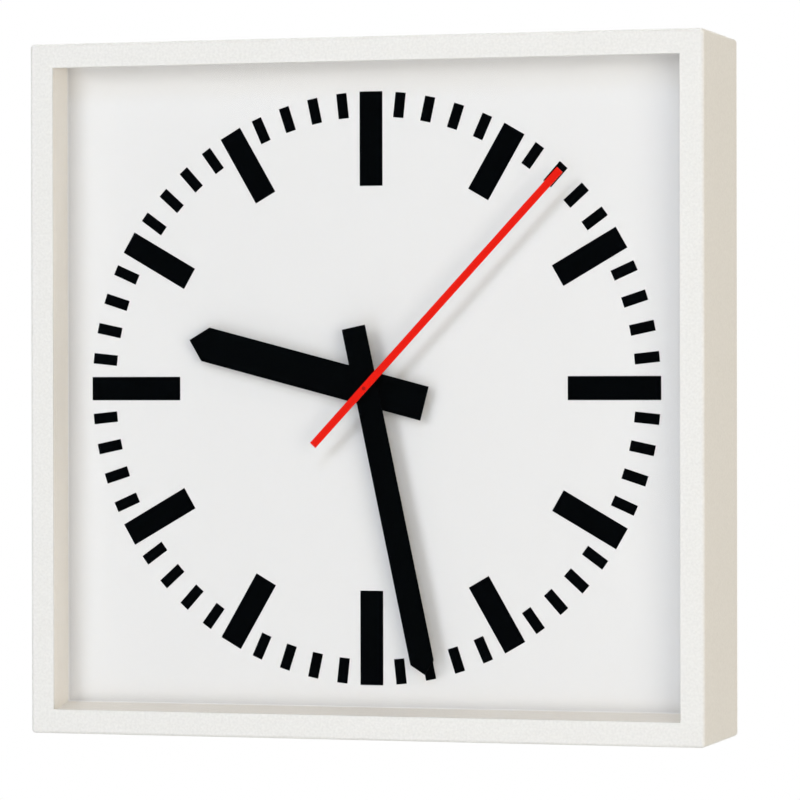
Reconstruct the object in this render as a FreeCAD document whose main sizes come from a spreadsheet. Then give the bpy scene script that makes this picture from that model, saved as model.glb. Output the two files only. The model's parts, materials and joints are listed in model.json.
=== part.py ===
import FreeCAD, Part

import math
import os
import re

import Sketcher

# A square slave clock for a wall. A master clock sends it impulses, and two stepping drives
# behind the dial turn them into minutes and seconds.
# The origin is the middle of the wall plane, +X is to the right, +Z is up and the dial faces -Y.
# A level is a height above the wall plane, so a point at level L lies at Y = -L.

Vector = FreeCAD.Vector

# Driving sizes, in millimetres and degrees
DRIVING = (
    # Folded steel case
    ("case_width", 300.0),
    ("case_height", 300.0),
    ("case_depth", 65.0),
    ("case_sheet", 1.2),
    ("lip_width", 10.5),
    ("fold_radius", 1.6),
    ("corner_radius", 1.0),
    # Fits
    ("panel_clearance", 0.3),
    ("slot_clearance", 0.15),
    ("thread_clearance", 0.05),
    ("running_clearance", 0.05),
    # Glass, reveal and dial
    ("glass_thickness", 2.0),
    ("spacer_sheet", 1.2),
    ("spacer_step", 0.4),
    ("spacer_lift", 2.0),
    ("dial_depth", 18.0),
    ("dial_thickness", 1.0),
    ("mark_thickness", 0.12),
    ("mark_margin", 11.5),
    ("tick_length", 10.9),
    ("tick_width", 4.6),
    ("hour_bar_length", 32.2),
    ("quarter_bar_length", 40.6),
    ("hour_bar_width", 10.2),
    # Clips that hold the dial forward and brackets that carry the rear cover
    ("clip_offset", 85.0),
    ("clip_width", 14.0),
    ("clip_length", 12.0),
    ("clip_reach", 9.0),
    ("clip_sheet", 1.0),
    ("bracket_width", 18.0),
    ("bracket_length", 12.0),
    ("bracket_reach", 14.0),
    ("bracket_sheet", 2.0),
    # Rear cover with its screws, keyholes and cable inlet
    ("cover_sheet", 1.2),
    ("cover_screw_radius", 1.5),
    ("cover_screw_head_radius", 2.9),
    ("cover_screw_end", 1.5),
    ("keyhole_spacing", 200.0),
    ("keyhole_height", 104.0),
    ("keyhole_entry_radius", 5.0),
    ("keyhole_slot_radius", 2.5),
    ("keyhole_rise", 8.0),
    ("inlet_drop", 60.0),
    ("inlet_width", 40.0),
    ("inlet_height", 20.0),
    ("trim_wall", 1.5),
    ("trim_lip_width", 2.5),
    ("trim_lip", 1.5),
    # Hands: how far each stops inside the ring of marks, and its angle clockwise from the top
    ("hour_hand_margin", 44.1),
    ("hour_hand_tail", 26.0),
    ("hour_hand_width", 15.0),
    ("hour_hand_angle", 284.6),
    ("minute_hand_margin", 2.7),
    ("minute_hand_tail", 26.8),
    ("minute_hand_width", 10.5),
    ("minute_hand_angle", 168.0),
    ("second_hand_margin", 1.2),
    ("second_hand_tail", 33.5),
    ("second_hand_width", 3.3),
    ("second_hand_angle", 43.2),
    ("blade_thickness", 0.8),
    ("second_blade_thickness", 0.5),
    ("hour_hand_lift", 2.1),
    ("hand_gap", 2.3),
    ("arbor_tip", 0.2),
    # Centre: arbor in pipe in pipe in threaded bush
    ("second_arbor_radius", 0.8),
    ("minute_pipe_radius", 1.6),
    ("hour_pipe_radius", 2.6),
    ("bush_radius", 5.0),
    ("bush_end", 0.2),
    ("nut_flats", 12.0),
    ("nut_height", 2.5),
    # Movement frame: a flat front plate on a folded back plate
    ("plate_thickness", 2.0),
    ("plate_overhang", 2.5),
    ("plate_gap", 17.5),
    ("frame_gap", 1.5),
    ("tab_width", 8.0),
    ("tab_inset", 10.0),
    # Wheels and pinions
    ("train_module", 0.8),
    ("motion_module", 0.5),
    ("pinion_teeth", 10),
    ("centre_wheel_teeth", 30),
    ("motion_wheel_teeth", 30),
    ("hour_wheel_teeth", 40),
    ("tooth_slack", 0.08),
    ("rotor_angle", 20.0),
    ("wheel_thickness", 1.2),
    ("wheel_gap", 0.6),
    ("centre_wheel_gap", 1.0),
    ("pinion_overhang", 0.2),
    ("rim_width", 1.3),
    ("hub_width", 1.4),
    ("spoke_width", 1.6),
    ("spoke_count", 5),
    ("pivot_radius", 0.8),
    ("pivot_length", 1.6),
    ("motion_stud_radius", 1.0),
    ("stud_head_radius", 1.8),
    ("stud_head", 0.5),
    ("stud_head_gap", 0.2),
    # Stepping drives
    ("magnet_radius", 6.0),
    ("magnet_height", 3.0),
    ("magnet_gap", 0.7),
    ("magnet_lift", 0.5),
    ("pole_teeth", 10),
    ("pole_depth", 1.2),
    ("stator_half_width", 13.5),
    ("stator_shoulder", 10.0),
    ("stator_leg", 5.5),
    ("stator_leg_end", 7.5),
    ("stator_thickness", 3.0),
    ("coil_drop", 19.0),
    ("core_width", 5.0),
    ("core_thickness", 3.0),
    ("core_clearance", 0.1),
    ("bobbin_side", 12.4),
    ("bobbin_flange", 1.2),
    ("bobbin_wall", 1.0),
    ("bobbin_clearance", 0.3),
    ("winding_inset", 0.6),
    ("winding_corner", 3.0),
    ("lug_width", 3.0),
    ("lug_sheet", 1.2),
    ("lug_hook", 3.2),
    # Terminal strip
    ("pole_count", 4),
    ("pole_pitch", 10.0),
    ("strip_base", 6.0),
    ("strip_depth", 11.0),
    ("strip_height", 12.0),
    ("strip_wall", 1.6),
    ("strip_lift", 12.5),
    ("terminal_radius", 2.4),
    ("terminal_height", 2.0),
)

# Sizes and levels that follow from the driving ones
DERIVED = (
    ("opening_width", "case_width - 2 * lip_width"),
    ("opening_height", "case_height - 2 * lip_width"),
    ("cavity_width", "case_width - 2 * case_sheet"),
    ("cavity_height", "case_height - 2 * case_sheet"),
    ("cavity_depth", "case_depth - case_sheet"),
    ("panel_width", "cavity_width - 2 * panel_clearance"),
    ("panel_height", "cavity_height - 2 * panel_clearance"),
    ("glass_level", "cavity_depth - glass_thickness"),
    ("reveal_width", "opening_width - 2 * spacer_step"),
    ("reveal_height", "opening_height - 2 * spacer_step"),
    ("mark_outer_radius", "min(reveal_width; reveal_height) / 2 - mark_margin"),
    ("web_width", "reveal_width + 2 * spacer_sheet"),
    ("web_height", "reveal_height + 2 * spacer_sheet"),
    ("dial_front", "case_depth - dial_depth"),
    ("dial_level", "dial_front - dial_thickness"),
    ("spacer_length", "glass_level - dial_front"),
    ("spacer_front_flange", "glass_level - spacer_sheet"),
    ("cover_screw_z", "cavity_height / 2 - bracket_reach / 2"),
    ("cover_thread_radius", "cover_screw_radius + thread_clearance"),
    # Levels from the dial back to the wall
    ("front_plate_level", "dial_level - plate_thickness"),
    ("back_plate_front", "front_plate_level - plate_gap"),
    ("back_plate_level", "back_plate_front - plate_thickness"),
    ("hour_wheel_level", "front_plate_level - wheel_gap - wheel_thickness"),
    ("motion_wheel_level", "hour_wheel_level - wheel_gap - wheel_thickness"),
    ("stud_head_level", "motion_wheel_level - stud_head_gap - stud_head"),
    ("minute_wheel_level", "stud_head_level - wheel_gap - wheel_thickness"),
    ("second_wheel_level", "minute_wheel_level - centre_wheel_gap - wheel_thickness"),
    ("pinion_width", "wheel_thickness + 2 * pinion_overhang"),
    # Levels from the dial out to the glass
    ("bush_front", "dial_front + nut_height + bush_end"),
    ("hour_blade_level", "bush_front + hour_hand_lift"),
    ("hour_blade_front", "hour_blade_level + blade_thickness"),
    ("minute_blade_level", "hour_blade_front + hand_gap"),
    ("minute_blade_front", "minute_blade_level + blade_thickness"),
    ("second_blade_level", "minute_blade_front + hand_gap"),
    ("second_blade_front", "second_blade_level + second_blade_thickness"),
    # Bores, and the points and shoulders of the hands
    ("minute_bore", "second_arbor_radius + running_clearance"),
    ("hour_bore", "minute_pipe_radius + running_clearance"),
    ("bush_bore", "hour_pipe_radius + running_clearance"),
    ("pivot_hole", "pivot_radius + running_clearance"),
    ("motion_bore", "motion_stud_radius + running_clearance"),
    ("hour_hand_tip", "mark_outer_radius - hour_hand_margin"),
    ("minute_hand_tip", "mark_outer_radius - minute_hand_margin"),
    ("second_hand_tip", "mark_outer_radius - second_hand_margin"),
    ("hour_hand_shoulder", "hour_hand_tip - hour_hand_width / 2"),
    ("minute_hand_shoulder", "minute_hand_tip - minute_hand_width / 2"),
    # Places of the arbors
    ("rotor_distance", "train_module * (pinion_teeth + centre_wheel_teeth) / 2"),
    ("motion_distance", "motion_module * (pinion_teeth + motion_wheel_teeth) / 2"),
    ("hour_module", "2 * motion_distance / (pinion_teeth + hour_wheel_teeth)"),
    ("rotor_x", "rotor_distance * cos(rotor_angle)"),
    ("rotor_drop", "rotor_distance * sin(rotor_angle)"),
    # Stepping drives
    ("coil_z_drop", "rotor_drop + coil_drop"),
    ("stator_end_drop", "coil_z_drop + stator_leg_end"),
    ("stator_gap_height", "coil_drop + stator_leg_end - stator_shoulder"),
    ("core_level", "back_plate_front + stator_thickness"),
    ("core_front", "core_level + core_thickness"),
    ("coil_level", "core_level + core_thickness / 2"),
    ("leg_gap", "2 * (stator_half_width - stator_leg)"),
    ("leg_offset", "stator_half_width - stator_leg / 2"),
    ("inner_leg_x", "rotor_x - leg_offset"),
    ("outer_leg_x", "rotor_x + leg_offset"),
    ("bobbin_length", "leg_gap - 2 * bobbin_clearance"),
    ("winding_length", "bobbin_length - 2 * bobbin_flange"),
    ("winding_side", "bobbin_side - 2 * winding_inset"),
    ("tube_depth", "core_thickness + 2 * core_clearance + 2 * bobbin_wall"),
    ("tube_height", "core_width + 2 * core_clearance + 2 * bobbin_wall"),
    ("coil_window_height", "bobbin_side + 4 * bobbin_clearance"),
    # Movement frame
    ("flange_x", "rotor_x + stator_half_width + frame_gap"),
    ("frame_top", "motion_distance + motion_module * (motion_wheel_teeth / 2 + 1) + frame_gap"),
    ("frame_drop", "stator_end_drop + frame_gap"),
    ("frame_height", "frame_top + frame_drop"),
    ("frame_middle", "(frame_top - frame_drop) / 2"),
    ("tab_top", "frame_top - tab_inset"),
    ("tab_drop", "frame_drop - tab_inset"),
)

doc = FreeCAD.newDocument("slave_clock")
sheet = doc.addObject("Spreadsheet::Sheet", "Sizes")
ALIASES = set()
NODES = []


def fill_sheet():
    """Write every size into its own cell: numbers first, then what follows from them."""
    row = 1
    for alias, value in DRIVING:
        sheet.set(f"A{row}", alias)
        sheet.set(f"B{row}", str(value))
        sheet.setAlias(f"B{row}", alias)
        ALIASES.add(alias)
        row += 1
    for alias, formula in DERIVED:
        sheet.set(f"A{row}", alias)
        sheet.set(f"B{row}", "=" + formula)
        sheet.setAlias(f"B{row}", alias)
        ALIASES.add(alias)
        row += 1
    doc.recompute()


def size(alias):
    """The number in a cell; a leading minus turns its sign."""
    if alias.startswith("-"):
        return -float(sheet.get(alias[1:]))
    return float(sheet.get(alias))


def cells(formula):
    """The formula with each alias written as a cell of the sheet."""
    return re.sub(r"[a-z][a-z_]*", lambda word: ("Sizes." if word[0] in ALIASES else "") + word[0], formula)


def bind(thing, path, formula):
    thing.setExpression(path, cells(formula))


def node(thing, label):
    """Name a finished sub-part, which is written to a file of that name."""
    thing.Label = label
    NODES.append(thing)
    return thing


# Part primitives that stand on a level


def stand(solid, length, x, level, z):
    """Turn a solid's own axis to the clock's, and stand it on a level at x and z."""
    solid.Placement = FreeCAD.Placement(Vector(0, 0, 0), FreeCAD.Rotation(Vector(1, 0, 0), 90))
    bind(solid, "Height", length)
    bind(solid, "Placement.Base.x", x)
    bind(solid, "Placement.Base.y", f"-({level})")
    bind(solid, "Placement.Base.z", z)
    return solid


def rod(name, radius, length, x="0", level="0", z="0"):
    """A round bar along the clock's axis, from a level towards the front."""
    bar = doc.addObject("Part::Cylinder", name)
    bind(bar, "Radius", radius)
    return stand(bar, length, x, level, z)


def cone(name, rear_radius, front_radius, length, x, level, z):
    """A round taper along the clock's axis, from a level towards the front."""
    taper = doc.addObject("Part::Cone", name)
    bind(taper, "Radius1", rear_radius)
    bind(taper, "Radius2", front_radius)
    return stand(taper, length, x, level, z)


def hexagon(name, circumradius, length, x="0", level="0", z="0"):
    """A hexagonal bar along the clock's axis, from a level towards the front."""
    bar = doc.addObject("Part::Prism", name)
    bar.Polygon = 6
    bind(bar, "Circumradius", circumradius)
    return stand(bar, length, x, level, z)


def block(name, width, depth, height, x="0", level="0", z="0"):
    """A box centred on x and z, from a level towards the front."""
    body = doc.addObject("Part::Box", name)
    bind(body, "Length", width)
    bind(body, "Width", depth)
    bind(body, "Height", height)
    bind(body, "Placement.Base.x", f"{x} - ({width}) / 2")
    bind(body, "Placement.Base.y", f"-({level}) - ({depth})")
    bind(body, "Placement.Base.z", f"{z} - ({height}) / 2")
    return body


def fuse(name, pieces):
    joined = doc.addObject("Part::MultiFuse", name)
    joined.Shapes = pieces
    return joined


def cut(name, base, tools):
    result = doc.addObject("Part::Cut", name)
    result.Base = base
    result.Tool = tools[0] if len(tools) == 1 else fuse(name + "_tools", tools)
    return result


def group(label, pieces):
    """Separate solids that share one node."""
    together = doc.addObject("Part::Compound", label)
    together.Links = pieces
    return node(together, label)


# Sketches of PartDesign bodies, drawn on the wall plane and lifted to a level


def new_body(label):
    return node(doc.addObject("PartDesign::Body", label), label)


def new_sketch(body, name, level):
    sketch = body.newObject("Sketcher::SketchObject", name)
    plane = next(plane for plane in body.Origin.OriginFeatures if plane.Role == "XZ_Plane")
    sketch.AttachmentSupport = [(plane, "")]
    sketch.MapMode = "FlatFace"
    bind(sketch, "AttachmentOffset.Base.z", level)
    return sketch


def dimension(sketch, alias, kind, *where):
    index = sketch.addConstraint(Sketcher.Constraint(kind, *where, size(alias)))
    bind(sketch, f"Constraints[{index}]", alias)


def place(sketch, geometry, point, x, z):
    """Tie a point to the origin; an empty distance puts it on the axis."""
    for kind, axis, distance in (("DistanceX", -2, x), ("DistanceY", -1, z)):
        if not distance:
            sketch.addConstraint(Sketcher.Constraint("PointOnObject", geometry, point, axis))
        elif distance.startswith("-"):
            dimension(sketch, distance[1:], kind, geometry, point, -1, 1)
        else:
            dimension(sketch, distance, kind, -1, 1, geometry, point)


def closed_lines(sketch, corners):
    """A closed outline of straight lines; returns the number of its first line."""
    first = sketch.GeometryCount
    count = len(corners)
    for index in range(count):
        line = Part.LineSegment(Vector(*corners[index], 0), Vector(*corners[(index + 1) % count], 0))
        sketch.addGeometry(line, False)
    for index in range(count):
        following = first + (index + 1) % count
        sketch.addConstraint(Sketcher.Constraint("Coincident", first + index, 2, following, 1))
    return first


def square_up(sketch, first):
    """Make the four lines of a rectangle level and upright in turn."""
    for index, direction in enumerate(("Horizontal", "Vertical", "Horizontal", "Vertical")):
        sketch.addConstraint(Sketcher.Constraint(direction, first + index))


def rectangle(sketch, width, height, lift=""):
    """A rectangle about the origin, or about a point above it."""
    right = size(width) / 2
    middle = size(lift) if lift else 0
    top = middle + size(height) / 2
    bottom = middle - size(height) / 2
    first = closed_lines(sketch, [(-right, bottom), (right, bottom), (right, top), (-right, top)])
    square_up(sketch, first)
    centre = -1
    if lift:
        centre = sketch.addGeometry(Part.Point(Vector(0, middle, 0)), True)
        place(sketch, centre, 1, "", lift)
    sketch.addConstraint(Sketcher.Constraint("Symmetric", first, 1, first + 2, 1, centre, 1))
    dimension(sketch, width, "DistanceX", first, 1, first, 2)
    dimension(sketch, height, "DistanceY", first + 1, 1, first + 1, 2)


def circle(sketch, radius, x="", z=""):
    middle = Vector(size(x) if x else 0, size(z) if z else 0, 0)
    index = sketch.addGeometry(Part.Circle(middle, Vector(0, 0, 1), size(radius)), False)
    dimension(sketch, radius, "Radius", index)
    place(sketch, index, 3, x, z)


def pad(body, sketch, length):
    feature = body.newObject("PartDesign::Pad", sketch.Name + "_pad")
    feature.Profile = sketch
    bind(feature, "Length", length)
    return feature


def pocket(body, sketch, length, forward):
    """Cut to a depth, towards the front or towards the wall, and prove that it cut."""
    doc.recompute()
    before = body.Shape.Volume
    feature = body.newObject("PartDesign::Pocket", sketch.Name + "_pocket")
    feature.Profile = sketch
    feature.Reversed = forward
    bind(feature, "Length", length)
    doc.recompute()
    if body.Shape.Volume >= before:
        raise RuntimeError(f"{feature.Name} cut nothing")
    return feature


def along_depth(edge):
    """Whether an edge runs straight from the wall to the front."""
    ends = [vertex.Point for vertex in edge.Vertexes]
    return len(ends) == 2 and abs((ends[1] - ends[0]).y) > 0.999 * edge.Length


def edges_where(feature, test):
    doc.recompute()
    return [f"Edge{index}" for index, edge in enumerate(feature.Shape.Edges, 1) if test(edge)]


def round_edges(body, feature, radius, test):
    names = edges_where(feature, test)
    rounding = body.newObject("PartDesign::Fillet", f"{body.Name}_fillet_{radius}")
    rounding.Base = (feature, names)
    bind(rounding, "Radius", radius)
    return rounding


def both_signs(alias):
    return (alias, "-" + alias)


# Case, glass, reveal and dial


def case_frame():
    """Four folded walls with a lip turned in at the front."""
    body = new_body("case_frame")
    outer = new_sketch(body, "case_outline", "0")
    rectangle(outer, "case_width", "case_height")
    block_pad = pad(body, outer, "case_depth")
    front = -size("case_depth")

    def on_front(edge):
        return all(abs(vertex.Y - front) < 1e-6 for vertex in edge.Vertexes)

    uprights = round_edges(body, block_pad, "corner_radius", along_depth)
    folds = round_edges(body, uprights, "fold_radius", on_front)
    cavity = new_sketch(body, "case_cavity", "0")
    rectangle(cavity, "cavity_width", "cavity_height")
    pocket(body, cavity, "cavity_depth", True)
    opening = new_sketch(body, "case_opening", "case_depth")
    rectangle(opening, "opening_width", "opening_height")
    pocket(body, opening, "case_depth", False)


def glass_pane():
    """Flat glass that lies against the back of the lip."""
    body = new_body("glass_pane")
    sketch = new_sketch(body, "glass_outline", "glass_level")
    rectangle(sketch, "panel_width", "panel_height")
    pad(body, sketch, "glass_thickness")


def spacer_frame():
    """The reveal: a channel-section ring that keeps the glass off the dial, with its opening a little high."""
    body = new_body("spacer_frame")
    web = new_sketch(body, "spacer_web", "dial_front")
    rectangle(web, "web_width", "web_height", "spacer_lift")
    rectangle(web, "reveal_width", "reveal_height", "spacer_lift")
    pad(body, web, "spacer_length")
    for name, level in (("spacer_rear", "dial_front"), ("spacer_front", "spacer_front_flange")):
        flange = new_sketch(body, name, level)
        rectangle(flange, "panel_width", "panel_height")
        rectangle(flange, "reveal_width", "reveal_height", "spacer_lift")
        pad(body, flange, "spacer_sheet")


def dial_plate():
    body = new_body("dial_plate")
    sketch = new_sketch(body, "dial_outline", "dial_level")
    rectangle(sketch, "panel_width", "panel_height")
    circle(sketch, "bush_radius")
    pad(body, sketch, "dial_thickness")


def mark(name, minute, length, width):
    """One printed bar that points at the centre, at its minute on the dial."""
    turn = 6 * minute
    bar = doc.addObject("Part::Box", name)
    bar.Placement = FreeCAD.Placement(Vector(0, 0, 0), FreeCAD.Rotation(Vector(0, 1, 0), turn))
    bind(bar, "Length", width)
    bind(bar, "Width", "mark_thickness")
    bind(bar, "Height", length)
    inner = f"(mark_outer_radius - {length})"
    bind(bar, "Placement.Base.x", f"{inner} * sin({turn}) - {width} / 2 * cos({turn})")
    bind(bar, "Placement.Base.y", "-dial_front - mark_thickness")
    bind(bar, "Placement.Base.z", f"{inner} * cos({turn}) + {width} / 2 * sin({turn})")
    return bar


def dial_marks():
    """Twelve hour bars, longer at the quarters, and a short tick at every other minute."""
    bars = []
    ticks = []
    for minute in range(60):
        if minute % 15 == 0:
            bars.append(mark(f"bar_{minute}", minute, "quarter_bar_length", "hour_bar_width"))
        elif minute % 5 == 0:
            bars.append(mark(f"bar_{minute}", minute, "hour_bar_length", "hour_bar_width"))
        else:
            ticks.append(mark(f"tick_{minute}", minute, "tick_length", "tick_width"))
    group("hour_marks", bars)
    group("minute_marks", ticks)


def wall_angle(name, across, side, along, kind, leg_level, foot_level):
    """A sheet angle with one leg on a case wall and a foot that points inwards."""
    def piece(part, thickness, depth, level):
        middle = f"{side} * (cavity_{across} / 2 - {thickness} / 2)"
        if across == "width":
            return block(f"{name}_{part}", thickness, depth, f"{kind}_width", middle, level, along)
        return block(f"{name}_{part}", f"{kind}_width", depth, thickness, along, level, middle)

    leg = piece("leg", f"{kind}_sheet", f"{kind}_length", leg_level)
    foot = piece("foot", f"{kind}_reach", f"{kind}_sheet", foot_level)
    return fuse(name, [leg, foot])


def dial_clips():
    """Tongues welded to the case walls and bent over behind the dial, two to a wall."""
    clips = []
    for across in ("width", "height"):
        for side in (1, -1):
            for along in both_signs("clip_offset"):
                clips.append(wall_angle(f"clip_{len(clips)}", across, side, along, "clip",
                                        "dial_level - clip_length", "dial_level - clip_sheet"))
    group("dial_clips", clips)


def cover_brackets():
    """Four angles behind the rear cover; the upper and lower ones are tapped for its screws."""
    brackets = []
    for across in ("width", "height"):
        for side in (1, -1):
            name = f"bracket_{len(brackets)}"
            angle = wall_angle(name, across, side, "0", "bracket", "cover_sheet", "cover_sheet")
            if across == "height":
                thread = rod(f"{name}_thread", "cover_thread_radius", "bracket_sheet", "0", "cover_sheet",
                             f"{side} * cover_screw_z")
                angle = cut(f"{name}_tapped", angle, [thread])
            brackets.append(angle)
    group("cover_brackets", brackets)


def rear_cover():
    """Sheet cover, flush with the wall, with keyholes to hang it by and a cable inlet."""
    sheet_box = block("cover_blank", "panel_width", "cover_sheet", "panel_height")
    tools = [block("cover_inlet", "inlet_width", "cover_sheet", "inlet_height", z="-inlet_drop")]
    slot_top = "(keyhole_height + keyhole_rise)"
    slot_middle = "(keyhole_height + keyhole_rise / 2)"
    for index, x in enumerate(("keyhole_spacing / 2", "-keyhole_spacing / 2")):
        tools.append(rod(f"keyhole_entry_{index}", "keyhole_entry_radius", "cover_sheet", x, "0",
                         "keyhole_height"))
        tools.append(block(f"keyhole_slot_{index}", "2 * keyhole_slot_radius", "cover_sheet",
                           "keyhole_rise", x, "0", slot_middle))
        tools.append(rod(f"keyhole_end_{index}", "keyhole_slot_radius", "cover_sheet", x, "0", slot_top))
    screws = []
    for index, z in enumerate(both_signs("cover_screw_z")):
        tools.append(cone(f"cover_hole_{index}", "cover_screw_head_radius + thread_clearance",
                          "cover_thread_radius", "cover_sheet", "0", "0", z))
        head = cone(f"cover_screw_head_{index}", "cover_screw_head_radius", "cover_screw_radius",
                    "cover_sheet", "0", "0", z)
        shank = rod(f"cover_screw_shank_{index}", "cover_screw_radius", "bracket_sheet + cover_screw_end",
                    "0", "cover_sheet", z)
        screws.append(fuse(f"cover_screw_{index}", [head, shank]))
    node(cut("rear_cover", sheet_box, tools), "rear_cover")
    group("cover_screws", screws)


def inlet_trim():
    """Rubber edging of the cable inlet, with a lip on the inside of the cover."""
    neck = block("trim_neck", "inlet_width", "cover_sheet", "inlet_height", z="-inlet_drop")
    lip = block("trim_lip_ring", "inlet_width + 2 * trim_lip_width", "trim_lip",
                "inlet_height + 2 * trim_lip_width", level="cover_sheet", z="-inlet_drop")
    passage = block("trim_passage", "inlet_width - 2 * trim_wall", "cover_sheet + trim_lip",
                    "inlet_height - 2 * trim_wall", z="-inlet_drop")
    node(cut("inlet_trim", fuse("trim_blank", [neck, lip]), [passage]), "inlet_trim")


# Hands


def turn_hand(body, angle):
    body.Placement = FreeCAD.Placement(Vector(0, 0, 0), FreeCAD.Rotation(Vector(0, 1, 0), size(angle)))


def pointed_hand(name, level, hole):
    """A flat bar with a square tail and a right-angled point."""
    body = new_body(f"{name}_hand")
    sketch = new_sketch(body, f"{name}_hand_outline", level)
    width = f"{name}_hand_width"
    tip = f"{name}_hand_tip"
    tail = f"{name}_hand_tail"
    shoulder = f"{name}_hand_shoulder"
    side = size(width) / 2
    first = closed_lines(sketch, [
        (-side, -size(tail)),
        (side, -size(tail)),
        (side, size(shoulder)),
        (0, size(tip)),
        (-side, size(shoulder)),
    ])
    sketch.addConstraint(Sketcher.Constraint("Symmetric", first, 1, first, 2, -2))
    sketch.addConstraint(Sketcher.Constraint("Vertical", first + 1))
    sketch.addConstraint(Sketcher.Constraint("Vertical", first + 4))
    sketch.addConstraint(Sketcher.Constraint("Horizontal", first + 1, 2, first + 3, 2))
    dimension(sketch, width, "DistanceX", first, 1, first, 2)
    dimension(sketch, tail, "DistanceY", first, 1, -1, 1)
    dimension(sketch, shoulder, "DistanceY", -1, 1, first + 1, 2)
    place(sketch, first + 2, 2, "", tip)
    circle(sketch, hole)
    pad(body, sketch, "blade_thickness")
    turn_hand(body, f"{name}_hand_angle")


def second_hand():
    """A thin straight bar with square ends."""
    body = new_body("second_hand")
    sketch = new_sketch(body, "second_hand_outline", "second_blade_level")
    side = size("second_hand_width") / 2
    low = -size("second_hand_tail")
    high = size("second_hand_tip")
    first = closed_lines(sketch, [(-side, low), (side, low), (side, high), (-side, high)])
    sketch.addConstraint(Sketcher.Constraint("Symmetric", first, 1, first, 2, -2))
    sketch.addConstraint(Sketcher.Constraint("Vertical", first + 1))
    sketch.addConstraint(Sketcher.Constraint("Horizontal", first + 2))
    sketch.addConstraint(Sketcher.Constraint("Vertical", first + 3))
    dimension(sketch, "second_hand_width", "DistanceX", first, 1, first, 2)
    dimension(sketch, "second_hand_tail", "DistanceY", first, 1, -1, 1)
    dimension(sketch, "second_hand_tip", "DistanceY", -1, 1, first + 1, 2)
    circle(sketch, "second_arbor_radius")
    pad(body, sketch, "second_blade_thickness")
    turn_hand(body, "second_hand_angle")


# Wheels and pinions

PRESSURE_ANGLE = math.radians(20)
ADDENDUM = 1.0
DEDENDUM = 1.2


def involute(angle):
    return math.tan(angle) - angle


def tooth_flank(teeth, module, steps):
    """Radius and half angle of one flank, from the root to the tip."""
    pitch_radius = module * teeth / 2
    base_radius = pitch_radius * math.cos(PRESSURE_ANGLE)
    root = pitch_radius - DEDENDUM * module
    tip = pitch_radius + ADDENDUM * module
    half_tooth = math.pi / (2 * teeth) - size("tooth_slack") / (2 * pitch_radius)
    flank = []
    for step in range(steps + 1):
        radius = root + (tip - root) * step / steps
        pressure = math.acos(base_radius / max(radius, base_radius))
        flank.append((radius, half_tooth + involute(PRESSURE_ANGLE) - involute(pressure)))
    return flank


def polar(radius, angle):
    """A point of the dial's plane, with its angle clockwise from the top."""
    return Vector(radius * math.sin(angle), 0, radius * math.cos(angle))


def closed_wire(points):
    return Part.makePolygon(points + points[:1])


def toothed_wire(teeth, module, steps):
    flank = tooth_flank(teeth, module, steps)
    points = []
    for tooth in range(teeth):
        middle = 2 * math.pi * tooth / teeth
        points += [polar(radius, middle - half) for radius, half in flank]
        points += [polar(radius, middle + half) for radius, half in reversed(flank)]
    return closed_wire(points)


def spoke_windows(hub_radius, rim_radius):
    """The openings between the spokes of a wheel."""
    count = int(size("spoke_count"))
    half_spoke = size("spoke_width") / 2
    windows = []
    for index in range(count):
        start = 2 * math.pi * index / count
        end = 2 * math.pi * (index + 1) / count
        at_hub = math.asin(half_spoke / hub_radius)
        at_rim = math.asin(half_spoke / rim_radius)
        windows.append(closed_wire([
            polar(hub_radius, start + at_hub),
            polar(rim_radius, start + at_rim),
            polar(rim_radius, (start + end) / 2),
            polar(rim_radius, end - at_rim),
            polar(hub_radius, end - at_hub),
        ]))
    return windows


def set_gear(name, outline, width, x, level, z, phase):
    """Extrude a toothed outline towards the front and turn it into mesh."""
    gear = doc.addObject("Part::Feature", name)
    face = Part.makeFace(outline, "Part::FaceMakerBullseye")
    gear.Shape = face.extrude(Vector(0, -width, 0))
    gear.Placement = FreeCAD.Placement(
        Vector(x, -level, z), FreeCAD.Rotation(Vector(0, 1, 0), math.degrees(phase)))
    return gear


def wheel(name, teeth, module, bore, place_of, level, phase, hub_radius=None):
    """A wheel with straight-sided teeth, crossed out between a hub and a rim if it has a hub."""
    outline = [toothed_wire(teeth, module, 1)]
    outline.append(Part.Wire(Part.makeCircle(bore, Vector(0, 0, 0), Vector(0, 1, 0))))
    if hub_radius:
        root = module * teeth / 2 - DEDENDUM * module
        outline += spoke_windows(hub_radius, root - size("rim_width"))
    return set_gear(name, outline, size("wheel_thickness"), place_of[0], level, place_of[1], phase)


def pinion(name, module, place_of, level, width, phase):
    """A solid pinion with curved flanks."""
    outline = [toothed_wire(int(size("pinion_teeth")), module, 2)]
    return set_gear(name, outline, width, place_of[0], level, place_of[1], phase)


def facing(start, end):
    """The angle, clockwise from the top, from one arbor to another."""
    return math.atan2(end[0] - start[0], end[1] - start[1])


def gap_phase(angle, teeth):
    """The turn that brings the gap between two teeth to an angle."""
    return angle + math.pi / teeth


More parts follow.
